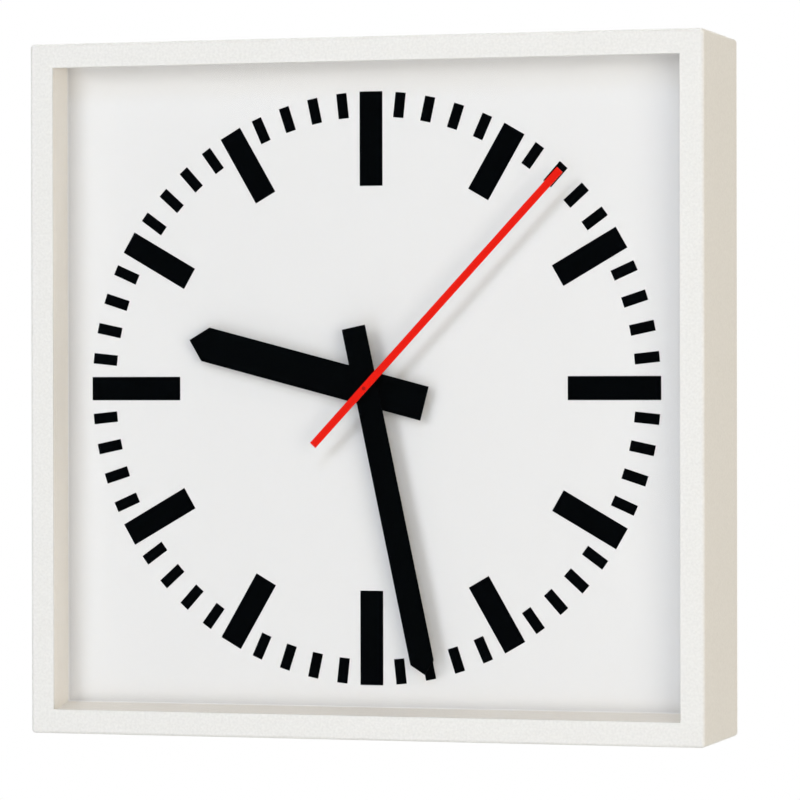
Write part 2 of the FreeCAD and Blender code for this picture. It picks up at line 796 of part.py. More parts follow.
def centre_wheels():
    """The minute hand's wheel on its pipe and the second hand's wheel on its arbor."""
    centre = (0.0, 0.0)
    teeth = int(size("centre_wheel_teeth"))
    hub_radius = size("minute_pipe_radius") + size("hub_width")
    for name, side, bore in (("minute", 1, "minute_pipe_radius"), ("second", -1, "second_arbor_radius")):
        rotor = (side * size("rotor_x"), -size("rotor_drop"))
        phase = gap_phase(facing(centre, rotor), teeth)
        node(wheel(f"{name}_wheel", teeth, size("train_module"), size(bore), centre,
                   size(f"{name}_wheel_level"), phase, hub_radius), f"{name}_wheel")
    motion = (0.0, size("motion_distance"))
    tube = rod("minute_tube", "minute_pipe_radius", "minute_blade_front - minute_wheel_level",
               level="minute_wheel_level")
    cannon = pinion("cannon_pinion", size("motion_module"), centre,
                    size("motion_wheel_level") - size("pinion_overhang"), size("pinion_width"),
                    facing(centre, motion))
    bore = rod("minute_tube_bore", "minute_bore", "case_depth")
    node(cut("minute_pipe", fuse("minute_pipe_blank", [tube, cannon]), [bore]), "minute_pipe")
    foot = "(back_plate_front - pivot_length)"
    node(rod("second_arbor", "second_arbor_radius", f"second_blade_front + arbor_tip - {foot}", level=foot),
         "second_arbor")


def motion_work():
    """The wheel pair that turns the hour pipe once for twelve turns of the minute pipe."""
    centre = (0.0, 0.0)
    motion = (0.0, size("motion_distance"))
    hour_teeth = int(size("hour_wheel_teeth"))
    motion_teeth = int(size("motion_wheel_teeth"))
    hour_disc = wheel("hour_disc", hour_teeth, size("hour_module"), size("hour_bore"), centre,
                      size("hour_wheel_level"), gap_phase(facing(centre, motion), hour_teeth))
    tube = rod("hour_tube", "hour_pipe_radius", "hour_blade_front - hour_wheel_level",
               level="hour_wheel_level")
    bore = rod("hour_tube_bore", "hour_bore", "case_depth")
    node(cut("hour_wheel", fuse("hour_wheel_blank", [hour_disc, tube]), [bore]), "hour_wheel")
    motion_disc = wheel("motion_disc", motion_teeth, size("motion_module"), size("motion_bore"), motion,
                        size("motion_wheel_level"), gap_phase(facing(motion, centre), motion_teeth))
    leaves_level = size("motion_wheel_level") + size("wheel_thickness")
    leaves_front = size("hour_wheel_level") + size("wheel_thickness") + size("pinion_overhang")
    leaves = pinion("motion_leaves", size("hour_module"), motion, leaves_level,
                    leaves_front - leaves_level, facing(motion, centre))
    bore = rod("motion_hole", "motion_bore", "case_depth", z="motion_distance")
    node(cut("motion_wheel", fuse("motion_wheel_blank", [motion_disc, leaves]), [bore]), "motion_wheel")
    pin = rod("motion_pin", "motion_stud_radius", "dial_level - stud_head_level", level="stud_head_level",
              z="motion_distance")
    head = rod("motion_pin_head", "stud_head_radius", "stud_head", level="stud_head_level",
               z="motion_distance")
    node(fuse("motion_stud", [pin, head]), "motion_stud")


def rotor(name, sign):
    """Ring magnet of one drive, and its arbor cut in one piece with the pinion."""
    x = f"{sign}rotor_x"
    place_of = (size(x), -size("rotor_drop"))
    shaft = rod(f"{name}_rotor_shaft", "pivot_radius", "plate_gap + 2 * pivot_length", x,
                "back_plate_front - pivot_length", "-rotor_drop")
    leaves = pinion(f"{name}_rotor_leaves", size("train_module"), place_of,
                    size(f"{name}_wheel_level") - size("pinion_overhang"), size("pinion_width"),
                    facing(place_of, (0.0, 0.0)))
    node(fuse(f"{name}_rotor_pinion", [shaft, leaves]), f"{name}_rotor_pinion")
    level = "back_plate_front + magnet_lift"
    disc = rod(f"{name}_magnet_disc", "magnet_radius", "magnet_height", x, level, "-rotor_drop")
    bore = rod(f"{name}_magnet_bore", "pivot_radius", "magnet_height", x, level, "-rotor_drop")
    node(cut(f"{name}_rotor_magnet", disc, [bore]), f"{name}_rotor_magnet")


def pole_ring(name, x):
    """The toothed hole that a stator's poles leave for the rotor."""
    count = int(size("pole_teeth"))
    inner = size("magnet_radius") + size("magnet_gap")
    outer = inner + size("pole_depth")
    quarter = math.pi / (2 * count)
    points = []
    for index in range(count):
        middle = 2 * math.pi * index / count
        points += [polar(inner, middle - quarter), polar(inner, middle + quarter)]
        points += [polar(outer, middle + quarter), polar(outer, middle + 3 * quarter)]
    return set_gear(name, [closed_wire(points)], size("stator_thickness"), x, size("back_plate_front"),
                    -size("rotor_drop"), 0.0)


def lug_slots(name, sign, level, depth):
    """Slots through which the back plate's lugs pass, one in each leg."""
    slots = []
    for leg in ("inner_leg_x", "outer_leg_x"):
        slots.append(block(f"{name}_{leg}_slot", "lug_width + 2 * slot_clearance", depth,
                           "lug_sheet + 2 * slot_clearance", sign + leg, level, "-coil_z_drop"))
    return slots


def stepping_coil(name, sign):
    """Stator with its toothed rotor hole, core bar, bobbin and winding of one drive."""
    x = f"{sign}rotor_x"
    z = "-coil_z_drop"
    height = "(stator_shoulder + coil_drop + stator_leg_end)"
    plate = block(f"{name}_stator_plate", "2 * stator_half_width", "stator_thickness", height, x,
                  "back_plate_front", f"stator_shoulder - rotor_drop - {height} / 2")
    gap = block(f"{name}_stator_gap", "leg_gap", "stator_thickness", "stator_gap_height", x,
                "back_plate_front", "stator_gap_height / 2 - stator_end_drop")
    tools = [gap, pole_ring(f"{name}_stator_poles", size(x))]
    tools += lug_slots(f"{name}_stator", sign, "back_plate_front", "stator_thickness")
    node(cut(f"{name}_stator", plate, tools), f"{name}_stator")
    bar = block(f"{name}_core_bar", "2 * stator_half_width", "core_thickness", "core_width", x,
                "core_level", z)
    node(cut(f"{name}_coil_core", bar, lug_slots(f"{name}_core", sign, "core_level", "core_thickness")),
         f"{name}_coil_core")
    tube_level = "coil_level - tube_depth / 2"
    pieces = [block(f"{name}_bobbin_tube", "bobbin_length", "tube_depth", "tube_height", x, tube_level, z)]
    for index, side in enumerate((1, -1)):
        middle = f"{x} + {side} * (bobbin_length - bobbin_flange) / 2"
        pieces.append(block(f"{name}_bobbin_flange_{index}", "bobbin_flange", "bobbin_side", "bobbin_side",
                            middle, "coil_level - bobbin_side / 2", z))
    passage = block(f"{name}_bobbin_passage", "bobbin_length", "core_thickness + 2 * core_clearance",
                    "core_width + 2 * core_clearance", x, "core_level - core_clearance", z)
    node(cut(f"{name}_coil_bobbin", fuse(f"{name}_bobbin_blank", pieces), [passage]),
         f"{name}_coil_bobbin")
    wire_block = block(f"{name}_wire_block", "winding_length", "winding_side", "winding_side", x,
                       "coil_level - winding_side / 2", z)
    doc.recompute()
    rounded = doc.addObject("Part::Fillet", f"{name}_wire_rounded")
    rounded.Base = wire_block
    radius = size("winding_corner")
    lengthwise = [index for index, edge in enumerate(wire_block.Shape.Edges, 1)
                  if abs(edge.tangentAt(edge.FirstParameter).x) > 0.999]
    rounded.Edges = [(index, radius, radius) for index in lengthwise]
    inside = block(f"{name}_wire_inside", "winding_length", "tube_depth", "tube_height", x, tube_level, z)
    node(cut(f"{name}_coil_winding", rounded, [inside]), f"{name}_coil_winding")


# Movement frame, centre fixing and terminals


def frame_tabs(name, thickness, width, level):
    """One tab, or the slot for it, at each corner of the movement frame."""
    tabs = []
    for x in both_signs("(flange_x + plate_thickness / 2)"):
        for z in ("tab_top", "-tab_drop"):
            tabs.append(block(f"{name}_{len(tabs)}", thickness, "plate_thickness", width, x, level, z))
    return tabs


def front_plate():
    """Flat plate behind the dial, slotted for the tabs of the folded back plate."""
    half_width = "(flange_x + plate_thickness + plate_overhang)"
    sheet_box = block("front_plate_blank", f"2 * {half_width}", "plate_thickness",
                      "frame_height + 2 * plate_overhang", level="front_plate_level", z="frame_middle")
    tools = frame_tabs("tab_slot", "plate_thickness + 2 * slot_clearance",
                       "tab_width + 2 * slot_clearance", "front_plate_level")
    tools.append(rod("bush_seat", "bush_radius", "plate_thickness", level="front_plate_level"))
    tools.append(rod("stud_seat", "motion_stud_radius", "plate_thickness", level="front_plate_level",
                     z="motion_distance"))
    for x in both_signs("rotor_x"):
        tools.append(rod(f"front_pivot_{len(tools)}", "pivot_hole", "plate_thickness", x,
                         "front_plate_level", "-rotor_drop"))
    node(cut("front_plate", sheet_box, tools), "front_plate")


def back_plate():
    """Plate with folded sides, tabs for the front plate and lugs bent over the cores."""
    half_width = "(flange_x + plate_thickness)"
    pieces = [block("back_plate_blank", f"2 * {half_width}", "plate_thickness", "frame_height",
                    level="back_plate_level", z="frame_middle")]
    for index, x in enumerate(both_signs("(flange_x + plate_thickness / 2)")):
        pieces.append(block(f"side_{index}", "plate_thickness", "plate_gap", "frame_height", x,
                            "back_plate_front", "frame_middle"))
    pieces += frame_tabs("tab", "plate_thickness", "tab_width", "front_plate_level")
    tools = []
    for sign in ("", "-"):
        x = f"{sign}rotor_x"
        for leg in ("inner_leg_x", "outer_leg_x"):
            name = f"lug_{len(pieces)}"
            pieces.append(block(name, "lug_width", "core_front + lug_sheet - back_plate_front",
                                "lug_sheet", sign + leg, "back_plate_front", "-coil_z_drop"))
            pieces.append(block(f"{name}_hook", "lug_width", "lug_sheet", "lug_hook", sign + leg,
                                "core_front", "(lug_sheet - lug_hook) / 2 - coil_z_drop"))
        tools.append(block(f"coil_window_{len(tools)}", "leg_gap", "plate_thickness", "coil_window_height",
                           x, "back_plate_level", "-coil_z_drop"))
        tools.append(rod(f"back_pivot_{len(tools)}", "pivot_hole", "plate_thickness", x,
                         "back_plate_level", "-rotor_drop"))
    tools.append(rod("arbor_hole", "minute_bore", "plate_thickness", level="back_plate_level"))
    node(cut("back_plate", fuse("back_plate_folded", pieces), tools), "back_plate")


def centre_fixing():
    """Threaded bush pressed into the front plate, with the nut that clamps it to the dial."""
    tube = rod("bush_tube", "bush_radius", "bush_front - front_plate_level", level="front_plate_level")
    bore = rod("bush_hole", "bush_bore", "case_depth")
    node(cut("centre_bush", tube, [bore]), "centre_bush")
    blank = hexagon("nut_blank", "nut_flats / 2 / cos(30)", "nut_height", level="dial_front")
    thread = rod("nut_thread", "bush_radius + thread_clearance", "nut_height", level="dial_front")
    node(cut("dial_nut", blank, [thread]), "dial_nut")


def terminal_strip():
    """Barrier strip on the back plate, with a terminal screw in each bay for the impulse lines."""
    count = int(size("pole_count"))
    pieces = [block("strip_blank", "pole_count * pole_pitch + strip_wall", "strip_base", "strip_height",
                    level="back_plate_level - strip_base", z="strip_lift")]
    for index in range(count + 1):
        pieces.append(block(f"strip_wall_{index}", "strip_wall", "strip_depth", "strip_height",
                            f"({index} - pole_count / 2) * pole_pitch", "back_plate_level - strip_depth",
                            "strip_lift"))
    node(fuse("terminal_strip", pieces), "terminal_strip")
    screws = []
    for index in range(count):
        screws.append(hexagon(f"terminal_{index}", "terminal_radius", "terminal_height",
                              f"({index} + 0.5 - pole_count / 2) * pole_pitch",
                              "back_plate_level - strip_base - terminal_height", "strip_lift"))
    group("terminal_screws", screws)


def check_document():
    """Stop if any object failed or any sub-part has no sound solid."""
    doc.recompute()
    failed = [thing.Name for thing in doc.Objects if {"Invalid", "Error"} & set(thing.State)]
    if failed:
        raise RuntimeError(f"failed objects: {failed}")
    for part in NODES:
        if part.Shape.isNull() or not part.Shape.isValid() or not part.Shape.Solids:
            raise RuntimeError(f"no sound solid: {part.Label}")


def write_parts():
    os.makedirs("parts", exist_ok=True)
    for part in NODES:
        part.Shape.exportStep(f"parts/{part.Label}.step")


fill_sheet()
case_frame()
glass_pane()
spacer_frame()
dial_plate()
dial_marks()
dial_clips()
cover_brackets()
rear_cover()
inlet_trim()
pointed_hand("hour", "hour_blade_level", "hour_pipe_radius")
pointed_hand("minute", "minute_blade_level", "minute_pipe_radius")
second_hand()
centre_wheels()
motion_work()
for drive, mirrored in (("minute", ""), ("second", "-")):
    rotor(drive, mirrored)
    stepping_coil(drive, mirrored)
front_plate()
back_plate()
centre_fixing()
terminal_strip()
check_document()
write_parts()
print(len(NODES), "sub-parts written")
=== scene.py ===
"""Looks of a square slave clock.

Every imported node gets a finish, and finer pieces stand for some of the nodes.
"""

import json
import math

import bpy
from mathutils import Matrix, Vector


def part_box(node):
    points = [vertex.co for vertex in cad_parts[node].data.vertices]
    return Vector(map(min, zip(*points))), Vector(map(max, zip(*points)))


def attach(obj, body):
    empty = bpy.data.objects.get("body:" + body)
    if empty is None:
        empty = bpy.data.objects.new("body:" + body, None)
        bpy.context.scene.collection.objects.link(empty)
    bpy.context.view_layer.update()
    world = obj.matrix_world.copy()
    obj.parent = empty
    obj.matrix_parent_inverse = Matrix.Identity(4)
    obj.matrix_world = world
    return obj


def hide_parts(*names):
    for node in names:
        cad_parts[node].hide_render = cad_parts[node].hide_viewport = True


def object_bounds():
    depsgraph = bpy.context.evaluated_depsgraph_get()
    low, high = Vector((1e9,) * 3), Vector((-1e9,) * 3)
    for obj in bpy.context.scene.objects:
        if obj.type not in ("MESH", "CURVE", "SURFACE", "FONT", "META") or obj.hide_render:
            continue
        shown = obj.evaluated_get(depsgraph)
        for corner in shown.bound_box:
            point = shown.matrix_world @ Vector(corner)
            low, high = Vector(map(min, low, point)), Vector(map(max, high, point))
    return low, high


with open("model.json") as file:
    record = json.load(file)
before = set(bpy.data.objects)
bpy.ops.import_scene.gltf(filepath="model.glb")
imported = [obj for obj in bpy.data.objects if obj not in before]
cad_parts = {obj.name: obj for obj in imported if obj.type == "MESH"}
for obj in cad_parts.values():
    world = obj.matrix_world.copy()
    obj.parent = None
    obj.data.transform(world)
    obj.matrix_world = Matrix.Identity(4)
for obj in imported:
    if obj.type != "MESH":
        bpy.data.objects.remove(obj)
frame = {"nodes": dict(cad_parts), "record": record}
cad_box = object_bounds()

MM = 0.001
NODES = frame["nodes"]
SLOT_OF = {part["node"]: part["material_slot"] for part in frame["record"]["subparts"]}

# Folded case
LIP_WIDTH = 10.5 * MM
CASE_SHEET = 1.2 * MM
FOLD_RADIUS = 1.6 * MM
FOLD_STEPS = 4
CUT_EDGE_RADIUS = 0.3 * MM
CUT_EDGE_STEPS = 3

# Reveal between the glass and the dial. Its foot stands inside the lip and sits high,
# and its walls open a little towards the glass.
REVEAL_STEP = 0.4 * MM
REVEAL_LIFT = 2.0 * MM
REVEAL_SPLAY = 0.7 * MM
DIAL_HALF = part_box("case_frame")[1].x - LIP_WIDTH - REVEAL_STEP

# Bright bead at the foot of the reveal
BEAD_WIDTH = 0.35 * MM
BEAD_HEIGHT = 0.3 * MM
BEAD_RADIUS = 0.12 * MM
BEAD_STEPS = 3
BEAD_TUCK = 0.1 * MM

# Edges broken on pressed, moulded and cut pieces
SOFT_EDGE_STEPS = 2
HAND_EDGE = 0.12 * MM
COVER_EDGE = 0.15 * MM
TRIM_EDGE = 0.45 * MM

# Countersunk screws with a cross recess, turned with the head towards the wall
SCREW_SIDES = 48
RECESS_LENGTH = 3.3 * MM
RECESS_WIDTH = 0.7 * MM
RECESS_DEPTH = 0.9 * MM
RECESS_TAPER = 0.55
COVER_SCREW_RADIUS = 1.5 * MM
SCREW_RIM = 0.12 * MM
SCREW_POINT = 0.3 * MM
QUARTER_TURN = math.radians(90)
FACING_WALL = (-QUARTER_TURN, 0, 0)

# Slotted terminal screws. The cutter of a slot is longer than the head is wide.
TERMINALS = 4
HEAD_ROUND = 0.25 * MM
SLOT_WIDTH = 0.7 * MM
SLOT_DEPTH = 0.8 * MM
SLOT_TURN = math.radians(35)
CUTTER_TO_RADIUS = 3

# Wire of the coils, and how finely its curve becomes a mesh
WIRE_RADIUS = 0.25 * MM
WIRE_CORNER = 2.0 * MM
WIRE_ROUNDNESS = 1
WIRE_ORDER = 3
WIRE_STEPS = 3

# Painted shade on the dial: a soft grey margin along the foot of the reveal, at the left, at the right and
# below, standing in for the shade of the reveal's walls
PAINTED_SHADE_WIDTH = 7.0 * MM
PAINTED_SHADE_STEEPNESS = 2.0
PAINTED_SHADE_TONE = (0.70, 0.70, 0.705)

# Black of the marks, and black and red lacquer of the hands
DEEP_BLACK = (0.0003, 0.0009, 0.0014)
SOFT_BLACK = (0.0007, 0.0017, 0.0025)
DEEP_RED = (0.85, 0.0105, 0.0035)
SOFT_RED = (0.91, 0.0130, 0.0045)
ARBOR_DEEP_RED = (0.40, 0.007, 0.005)
ARBOR_SOFT_RED = (0.48, 0.009, 0.007)
LACQUER_GRAIN = 0.6 * MM
LACQUER_ROUGHNESS = (0.45, 0.6)
LACQUER_GLOSS = 0.08

# Metal under the lacquer, and how far in front of the wall the lacquer begins on each piece
BRASS = (0.80, 0.59, 0.27)
STEEL = (0.55, 0.56, 0.57)
SECOND_LACQUER = 58.12 * MM
ARBOR_LACQUER = 57.9 * MM
MINUTE_LACQUER = 54.5 * MM
HOUR_LACQUER = 51.5 * MM

# Clear glass: its tint, its refractive index, and its tint for rays that pass straight through
GLASS_TINT = (0.985, 0.992, 0.99, 1)
GLASS_INDEX = 1.5
THROUGH_TINT = (0.985, 0.985, 0.98, 1)

# Patterns: the range that holds most of a noise's values, how fine a noise is, and the ways grain is drawn
NOISE_LOW = 0.3
NOISE_HIGH = 0.7
NOISE_DETAIL = 2.0
DRAWN_DETAIL = 4.0
EVEN = (1, 1, 1)
ALONG_X = (0.05, 1, 1)

# Patches of more and less gloss, in grains of the coat or of the metal
COAT_PATCH = 4
METAL_PATCH = 6

# Sockets of the node that mixes two colours
MIX_FACTOR = 0
MIX_DARK = 6
MIX_LIGHT = 7
MIX_COLOUR = 2

# Tolerances for merging, for picking by place or normal, and for shading
WELD = 0.001 * MM
NEAR = 0.02 * MM
FACING_SHARE = 0.9
FLAT_ANGLE = math.radians(0.5)
SHARP_ANGLE = math.radians(40)
SMOOTH_ANGLE = math.radians(35)

# Camera, fitted to the corners of the case in the photograph
CAMERA_PLACE = (0.53911, -1.82566, 0.00311)
CAMERA_TURN = (1.56641, 0.00166, 0.2878)
CAMERA_LENS = 194.54
SENSOR_WIDTH = 36.0

# Studio light
AMBIENT_COLOUR = (1.0, 0.91, 0.80, 1)
AMBIENT_STRENGTH = 0.386
WHITE = (1, 1, 1, 1)
CLOCK_MIDDLE = Vector((0, -0.03, 0))

# Kinds of rays that see the surroundings themselves, and that see them in gloss or through the pane
IN_SIGHT = ("Is Camera Ray",)
MIRRORED = ("Is Glossy Ray", "Is Transmission Ray")

# In gloss the surroundings run from dim in front of the clock to white behind it,
# between these two shares of a direction along the depth axis.
DIM_FRONT = 0.01
DIM_UNTIL = -0.3
WHITE_FROM = 0.1

# Floor, which is lifted to white in sight
FLOOR_DROP = 2.2
FLOOR_SIZE = 16
FLOOR_LIFT = 0.9
FLOOR_ROUGHNESS = 0.9
FLOOR_PALE = (0.85, 0.85, 0.85)
FLOOR_DIM = (0.02, 0.02, 0.02)


# Modelling by hand, in code

def deselect():
    """Leave nothing selected, so that an operator acts on the new piece alone."""
    bpy.ops.object.select_all(action="DESELECT")


def name_piece(name):
    """Name the piece just made and put its place in its mesh."""
    piece = bpy.context.active_object
    piece.name = name
    piece.data.name = name
    bpy.ops.object.transform_apply(location=True, rotation=True, scale=True)
    return piece


def box_piece(name, low, high):
    """A new box between two corners."""
    deselect()
    bpy.ops.mesh.primitive_cube_add(size=1, location=(low + high) / 2, scale=high - low)
    return name_piece(name)


def edit(kind):
    """Go into edit mode with nothing selected, ready to pick faces or edges."""
    bpy.ops.object.mode_set(mode="EDIT")
    bpy.ops.mesh.select_mode(type=kind)
    bpy.ops.mesh.select_all(action="DESELECT")


def pick_faces(piece, wanted):
    """Select the faces whose middle and normal pass a test."""
    edit("FACE")
    bpy.ops.object.mode_set(mode="OBJECT")
    for face in piece.data.polygons:
        face.select = wanted(face.center, face.normal)
    bpy.ops.object.mode_set(mode="EDIT")


def pick_edges(piece, wanted):
    """Select the edges whose two ends pass a test."""
    edit("EDGE")
    bpy.ops.object.mode_set(mode="OBJECT")
    points = piece.data.vertices
    for edge in piece.data.edges:
        edge.select = wanted(*(points[index].co for index in edge.vertices))
    bpy.ops.object.mode_set(mode="EDIT")


def round_picked(radius, steps):
    """Round the picked edges."""
    bpy.ops.mesh.bevel(offset=radius, segments=steps, profile=0.5, affect="EDGES")


def apply_modifier(piece, kind, **settings):
    """Add a modifier with its settings and apply it."""
    modifier = piece.modifiers.new(kind.lower(), kind)
    for setting, value in settings.items():
        setattr(modifier, setting, value)
    bpy.ops.object.modifier_apply(modifier=modifier.name)


def weld_points():
    """Merge the points of the active piece that lie in one place."""
    bpy.ops.object.mode_set(mode="EDIT")
    bpy.ops.mesh.select_all(action="SELECT")
    bpy.ops.mesh.remove_doubles(threshold=WELD)
    bpy.ops.object.mode_set(mode="OBJECT")


def shade_rounds(piece):
    """Shade round stretches smooth and keep the flat faces beside them flat."""
    bpy.ops.object.shade_smooth_by_angle(angle=SMOOTH_ANGLE)
    apply_modifier(piece, "WEIGHTED_NORMAL", keep_sharp=True)


def finish_shape(piece):
    """Turn the faces outwards and shade them."""
    bpy.ops.object.mode_set(mode="EDIT")
    bpy.ops.mesh.select_all(action="SELECT")
    bpy.ops.mesh.normals_make_consistent(inside=False)
    bpy.ops.object.mode_set(mode="OBJECT")
    shade_rounds(piece)


def softened(node, name, width):
    """A copy of a node with whole faces in place of its triangles and its sharp edges broken."""
    deselect()
    source = NODES[node]
    source.select_set(True)
    bpy.context.view_layer.objects.active = source
    bpy.ops.object.duplicate()
    piece = bpy.context.active_object
    piece.parent = None
    for label in list(piece.keys()):
        del piece[label]
    name_piece(name)
    weld_points()
    bpy.ops.object.mode_set(mode="EDIT")
    bpy.ops.mesh.dissolve_limited(angle_limit=FLAT_ANGLE)
    bpy.ops.object.mode_set(mode="OBJECT")
    apply_modifier(piece, "BEVEL", width=width, segments=SOFT_EDGE_STEPS, limit_method="ANGLE",
                   angle_limit=SHARP_ANGLE)
    shade_rounds(piece)
    return piece


def cut_away(piece, cutter):
    """Cut one piece with another, which is used up."""
    deselect()
    piece.select_set(True)
    bpy.context.view_layer.objects.active = piece
    apply_modifier(piece, "BOOLEAN", object=cutter, operation="DIFFERENCE", solver="EXACT")
    bpy.data.objects.remove(cutter)


def dress(piece, body, slot, *stands_for, finish=None):
    """Give a piece its finish, the body it moves with, and the nodes it stands for."""
    piece.data.materials.clear()
    piece.data.materials.append(finish or FINISHES[slot])
    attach(piece, body)
    if stands_for:
        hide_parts(*stands_for)


# Finishes

def new_finish(name):
    """A new material with its node tree and its main shader."""
    material = bpy.data.materials.new(name)
    material.use_nodes = True
    tree = material.node_tree
    return material, tree, tree.nodes["Principled BSDF"]


def noise(tree, size, detail=NOISE_DETAIL, stretch=EVEN):
    """Noise in blotches of about the given size, in metres, on the piece's own coordinates."""
    place = tree.nodes.new("ShaderNodeTexCoord")
    mapping = tree.nodes.new("ShaderNodeMapping")
    mapping.inputs["Scale"].default_value = [share / size for share in stretch]
    texture = tree.nodes.new("ShaderNodeTexNoise")
    texture.inputs["Scale"].default_value = 1.0
    texture.inputs["Detail"].default_value = detail
    tree.links.new(place.outputs["Object"], mapping.inputs["Vector"])
    tree.links.new(mapping.outputs["Vector"], texture.inputs["Vector"])
    return texture.outputs["Fac"]


def between(tree, factor, low, high):
    """A value that runs from low to high over the middle of a noise's range."""
    ramp = tree.nodes.new("ShaderNodeMapRange")
    ramp.inputs["From Min"].default_value = NOISE_LOW
    ramp.inputs["From Max"].default_value = NOISE_HIGH
    ramp.inputs["To Min"].default_value = low
    ramp.inputs["To Max"].default_value = high
    tree.links.new(factor, ramp.inputs["Value"])
    return ramp.outputs["Result"]


def blend(tree, factor, dark, light):
    """A colour that runs from dark to light with a factor."""
    mix = tree.nodes.new("ShaderNodeMix")
    mix.data_type = "RGBA"
    mix.inputs[MIX_DARK].default_value = (*dark, 1)
    mix.inputs[MIX_LIGHT].default_value = (*light, 1)
    tree.links.new(factor, mix.inputs[MIX_FACTOR])
    return mix.outputs[MIX_COLOUR]


def relief(tree, shader, height, depth):
    """Raise a surface by a pattern of the given depth, in metres."""
    bump = tree.nodes.new("ShaderNodeBump")
    bump.inputs["Strength"].default_value = 1.0
    bump.inputs["Distance"].default_value = depth
    tree.links.new(height, bump.inputs["Height"])
    tree.links.new(bump.outputs["Normal"], shader.inputs["Normal"])


def coat(name, dark, light, grain, depth, roughness, specular=0.5):
    """A sprayed, printed or moulded surface: two close tones on a skin of the given grain and depth."""
    material, tree, shader = new_finish(name)
    speckle = noise(tree, grain)
    tree.links.new(blend(tree, between(tree, speckle, 0, 1), dark, light), shader.inputs["Base Color"])
    patches = noise(tree, COAT_PATCH * grain)
    tree.links.new(between(tree, patches, *roughness), shader.inputs["Roughness"])
    shader.inputs["Specular IOR Level"].default_value = specular
    relief(tree, shader, speckle, depth)
    return material


def bare_metal(name, dark, light, grain, stretch, depth, roughness):
    """Rolled, turned or plated metal, with its grain drawn out one way."""
    material, tree, shader = new_finish(name)
    shader.inputs["Metallic"].default_value = 1.0
    draw = noise(tree, grain, DRAWN_DETAIL, stretch)
    tree.links.new(blend(tree, between(tree, draw, 0, 1), dark, light), shader.inputs["Base Color"])
    patches = noise(tree, METAL_PATCH * grain)
    tree.links.new(between(tree, patches, *roughness), shader.inputs["Roughness"])
    relief(tree, shader, draw, depth)
    return material


def zinc_sheet(name, dark, light, spangle, depth, roughness):
    """Zinc-plated sheet, whose coat has set in flat crystals of the given size."""
    material, tree, shader = new_finish(name)
    shader.inputs["Metallic"].default_value = 1.0
    place = tree.nodes.new("ShaderNodeTexCoord")
    crystals = tree.nodes.new("ShaderNodeTexVoronoi")
    crystals.inputs["Scale"].default_value = 1.0 / spangle
    crystal = tree.nodes.new("ShaderNodeSeparateColor")
    tree.links.new(place.outputs["Object"], crystals.inputs["Vector"])
    tree.links.new(crystals.outputs["Color"], crystal.inputs["Color"])
    tree.links.new(blend(tree, crystal.outputs["Red"], dark, light), shader.inputs["Base Color"])
    tree.links.new(between(tree, crystal.outputs["Green"], *roughness), shader.inputs["Roughness"])
    relief(tree, shader, noise(tree, spangle), depth)
    return material


def lacquered_front(name, metal, dark, light, level):
    """Metal that is lacquered where it stands farther from the wall than a level, and bare behind that."""
    material, tree, shader = new_finish(name)
    place = tree.nodes.new("ShaderNodeTexCoord")
    split = tree.nodes.new("ShaderNodeSeparateXYZ")
    in_front = tree.nodes.new("ShaderNodeMath")
    in_front.operation = "LESS_THAN"
    in_front.inputs[1].default_value = -level
    bare = tree.nodes.new("ShaderNodeMath")
    bare.operation = "SUBTRACT"
    bare.inputs[0].default_value = 1.0
    tree.links.new(place.outputs["Object"], split.inputs["Vector"])
    tree.links.new(split.outputs["Y"], in_front.inputs[0])
    tree.links.new(in_front.outputs["Value"], bare.inputs[1])
    grain = noise(tree, LACQUER_GRAIN)
    lacquer = blend(tree, between(tree, grain, 0, 1), dark, light)
    colour = blend(tree, in_front.outputs["Value"], metal, dark)
    tree.links.new(lacquer, colour.node.inputs[MIX_LIGHT])
    tree.links.new(colour, shader.inputs["Base Color"])
    tree.links.new(bare.outputs["Value"], shader.inputs["Metallic"])
    tree.links.new(between(tree, grain, *LACQUER_ROUGHNESS), shader.inputs["Roughness"])
    shader.inputs["Specular IOR Level"].default_value = LACQUER_GLOSS
    return material


def painted_shade_margin(material, half, lift, width, steepness, tone):
    """Paint shade into a finish: a greyer tone towards the sides and the foot of a square that sits high,
    where the walls around it shade it.
    """
    tree = material.node_tree
    shader = tree.nodes["Principled BSDF"]
    plain = shader.inputs["Base Color"].links[0].from_socket
    place = tree.nodes.new("ShaderNodeTexCoord")
    split = tree.nodes.new("ShaderNodeSeparateXYZ")
    tree.links.new(place.outputs["Object"], split.inputs["Vector"])
    farther = tree.nodes.new("ShaderNodeMath")
    farther.operation = "MAXIMUM"
    aside = tree.nodes.new("ShaderNodeMath")
    aside.operation = "ABSOLUTE"
    below = tree.nodes.new("ShaderNodeMath")
    below.operation = "SUBTRACT"
    below.inputs[0].default_value = lift
    tree.links.new(split.outputs["X"], aside.inputs[0])
    tree.links.new(split.outputs["Z"], below.inputs[1])
    tree.links.new(aside.outputs["Value"], farther.inputs[0])
    tree.links.new(below.outputs["Value"], farther.inputs[1])
    ramp = tree.nodes.new("ShaderNodeMapRange")
    ramp.inputs["From Min"].default_value = half - width
    ramp.inputs["From Max"].default_value = half
    steep = tree.nodes.new("ShaderNodeMath")
    steep.operation = "POWER"
    steep.inputs[1].default_value = steepness
    tree.links.new(farther.outputs["Value"], ramp.inputs["Value"])
    tree.links.new(ramp.outputs["Result"], steep.inputs[0])
    # Painted shade: the plain finish runs to the grey tone towards the margin
    painted_shade_colour = blend(tree, steep.outputs["Value"], tone, tone)
    tree.links.new(plain, painted_shade_colour.node.inputs[MIX_DARK])
    tree.links.new(painted_shade_colour, shader.inputs["Base Color"])
    return material


